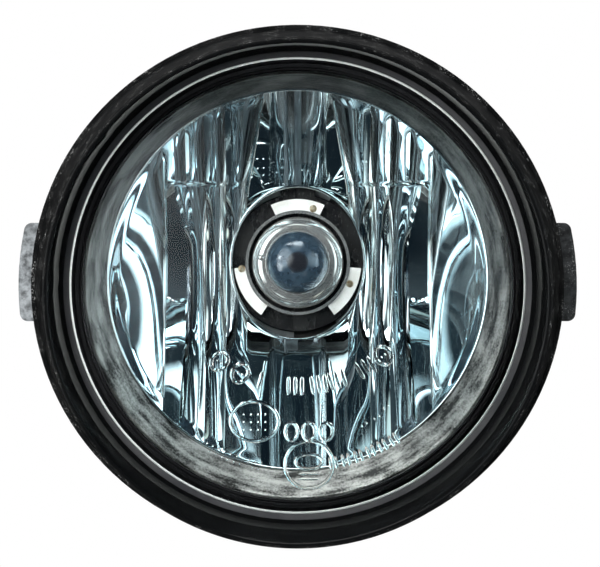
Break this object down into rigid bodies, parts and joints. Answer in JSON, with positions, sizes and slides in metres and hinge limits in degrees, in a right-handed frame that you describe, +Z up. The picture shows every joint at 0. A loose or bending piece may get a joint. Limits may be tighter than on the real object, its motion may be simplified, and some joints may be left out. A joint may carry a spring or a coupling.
{
  "type": "fog light",
  "caption": "Round fog light with a clear domed lens in a black ring with side ears, a fluted reflector, a twist-lock bulb and a screw that tilts the lamp.",
  "frame": {"origin": "centre of the mounting flange's rear face, on the lens axis", "axes": "+Y into the vehicle, so the lamp shines towards -Y; +Z up; +X to the right when the lens is looked at"},
  "size_m": [0.1124, 0.0701, 0.1024],
  "materials": {
    "frame_plastic": "glossy black on the front ring, satin on the flange and ears",
    "housing_plastic": "fine grained black moulding",
    "lens_glass": "clear pressed glass",
    "adhesive": "glossy black adhesive",
    "reflector_coat": "aluminised, satin on the front ring",
    "steel": "zinc plated",
    "aiming_plastic": "natural moulded plastic",
    "seal_rubber": "soft black rubber",
    "membrane": "white breathable film",
    "bulb_glass": "clear hard glass",
    "bulb_coating": "dark blue-grey glossy coating",
    "bulb_steel": "bright rolled steel",
    "filament": "drawn wire",
    "bulb_plastic": "glass filled black plastic",
    "contact_brass": "tin plated brass"
  },
  "bodies": {
    "mounting_frame": {"mounting_frame": "frame_plastic", "pivot_pin_left": "steel", "pivot_pin_right": "steel"},
    "lamp_unit": {"lens": "lens_glass", "lens_seal": "adhesive", "reflector": "reflector_coat", "rear_housing": "housing_plastic", "pivot_bush_left": "aiming_plastic", "pivot_bush_right": "aiming_plastic", "vent_membrane": "membrane", "vent_cap": "housing_plastic", "holder_gasket": "seal_rubber", "bulb_holder": "steel", "holder_screws": "steel"},
    "aiming_nut": {"adjuster_nut": "aiming_plastic"},
    "aiming_screw": {"adjuster_screw": "aiming_plastic", "adjuster_clip": "steel", "adjuster_knob": "aiming_plastic"},
    "bulb": {"bulb_glass": "bulb_glass", "bulb_tip_coating": "bulb_coating", "bulb_filament": "filament", "bulb_lead_wires": "filament", "bulb_collar": "bulb_steel", "bulb_base_ring": "bulb_steel", "bulb_support_tabs": "bulb_steel", "bulb_base": "bulb_plastic", "bulb_o_ring": "seal_rubber", "bulb_terminals": "contact_brass"}
  },
  "joints": [
    {"name": "aim_tilt", "type": "hinge", "parent": "mounting_frame", "child": "lamp_unit", "pos_m": [0, 0.013, 0], "axis": [1, 0, 0], "range_deg": [-3, 3]},
    {"name": "nut_travel", "type": "slide", "parent": "mounting_frame", "child": "aiming_nut", "axis": [0, 1, 0], "range_m": [-0.0023, 0.0023]},
    {"name": "screw_turn", "type": "hinge", "parent": "mounting_frame", "child": "aiming_screw", "pos_m": [0, 0.0305, -0.043], "axis": [0, 1, 0], "range_deg": [-812, 812]},
    {"name": "bulb_twist", "type": "hinge", "parent": "lamp_unit", "child": "bulb", "pos_m": [0, 0.0385, 0.0046], "axis": [0, 1, 0], "range_deg": [0, 45]}
  ],
  "couplings": [
    {"joint": "nut_travel", "follows": "aim_tilt", "m_per_rad": 0.043},
    {"joint": "screw_turn", "follows": "aim_tilt", "ratio": -270.18}
  ]
}
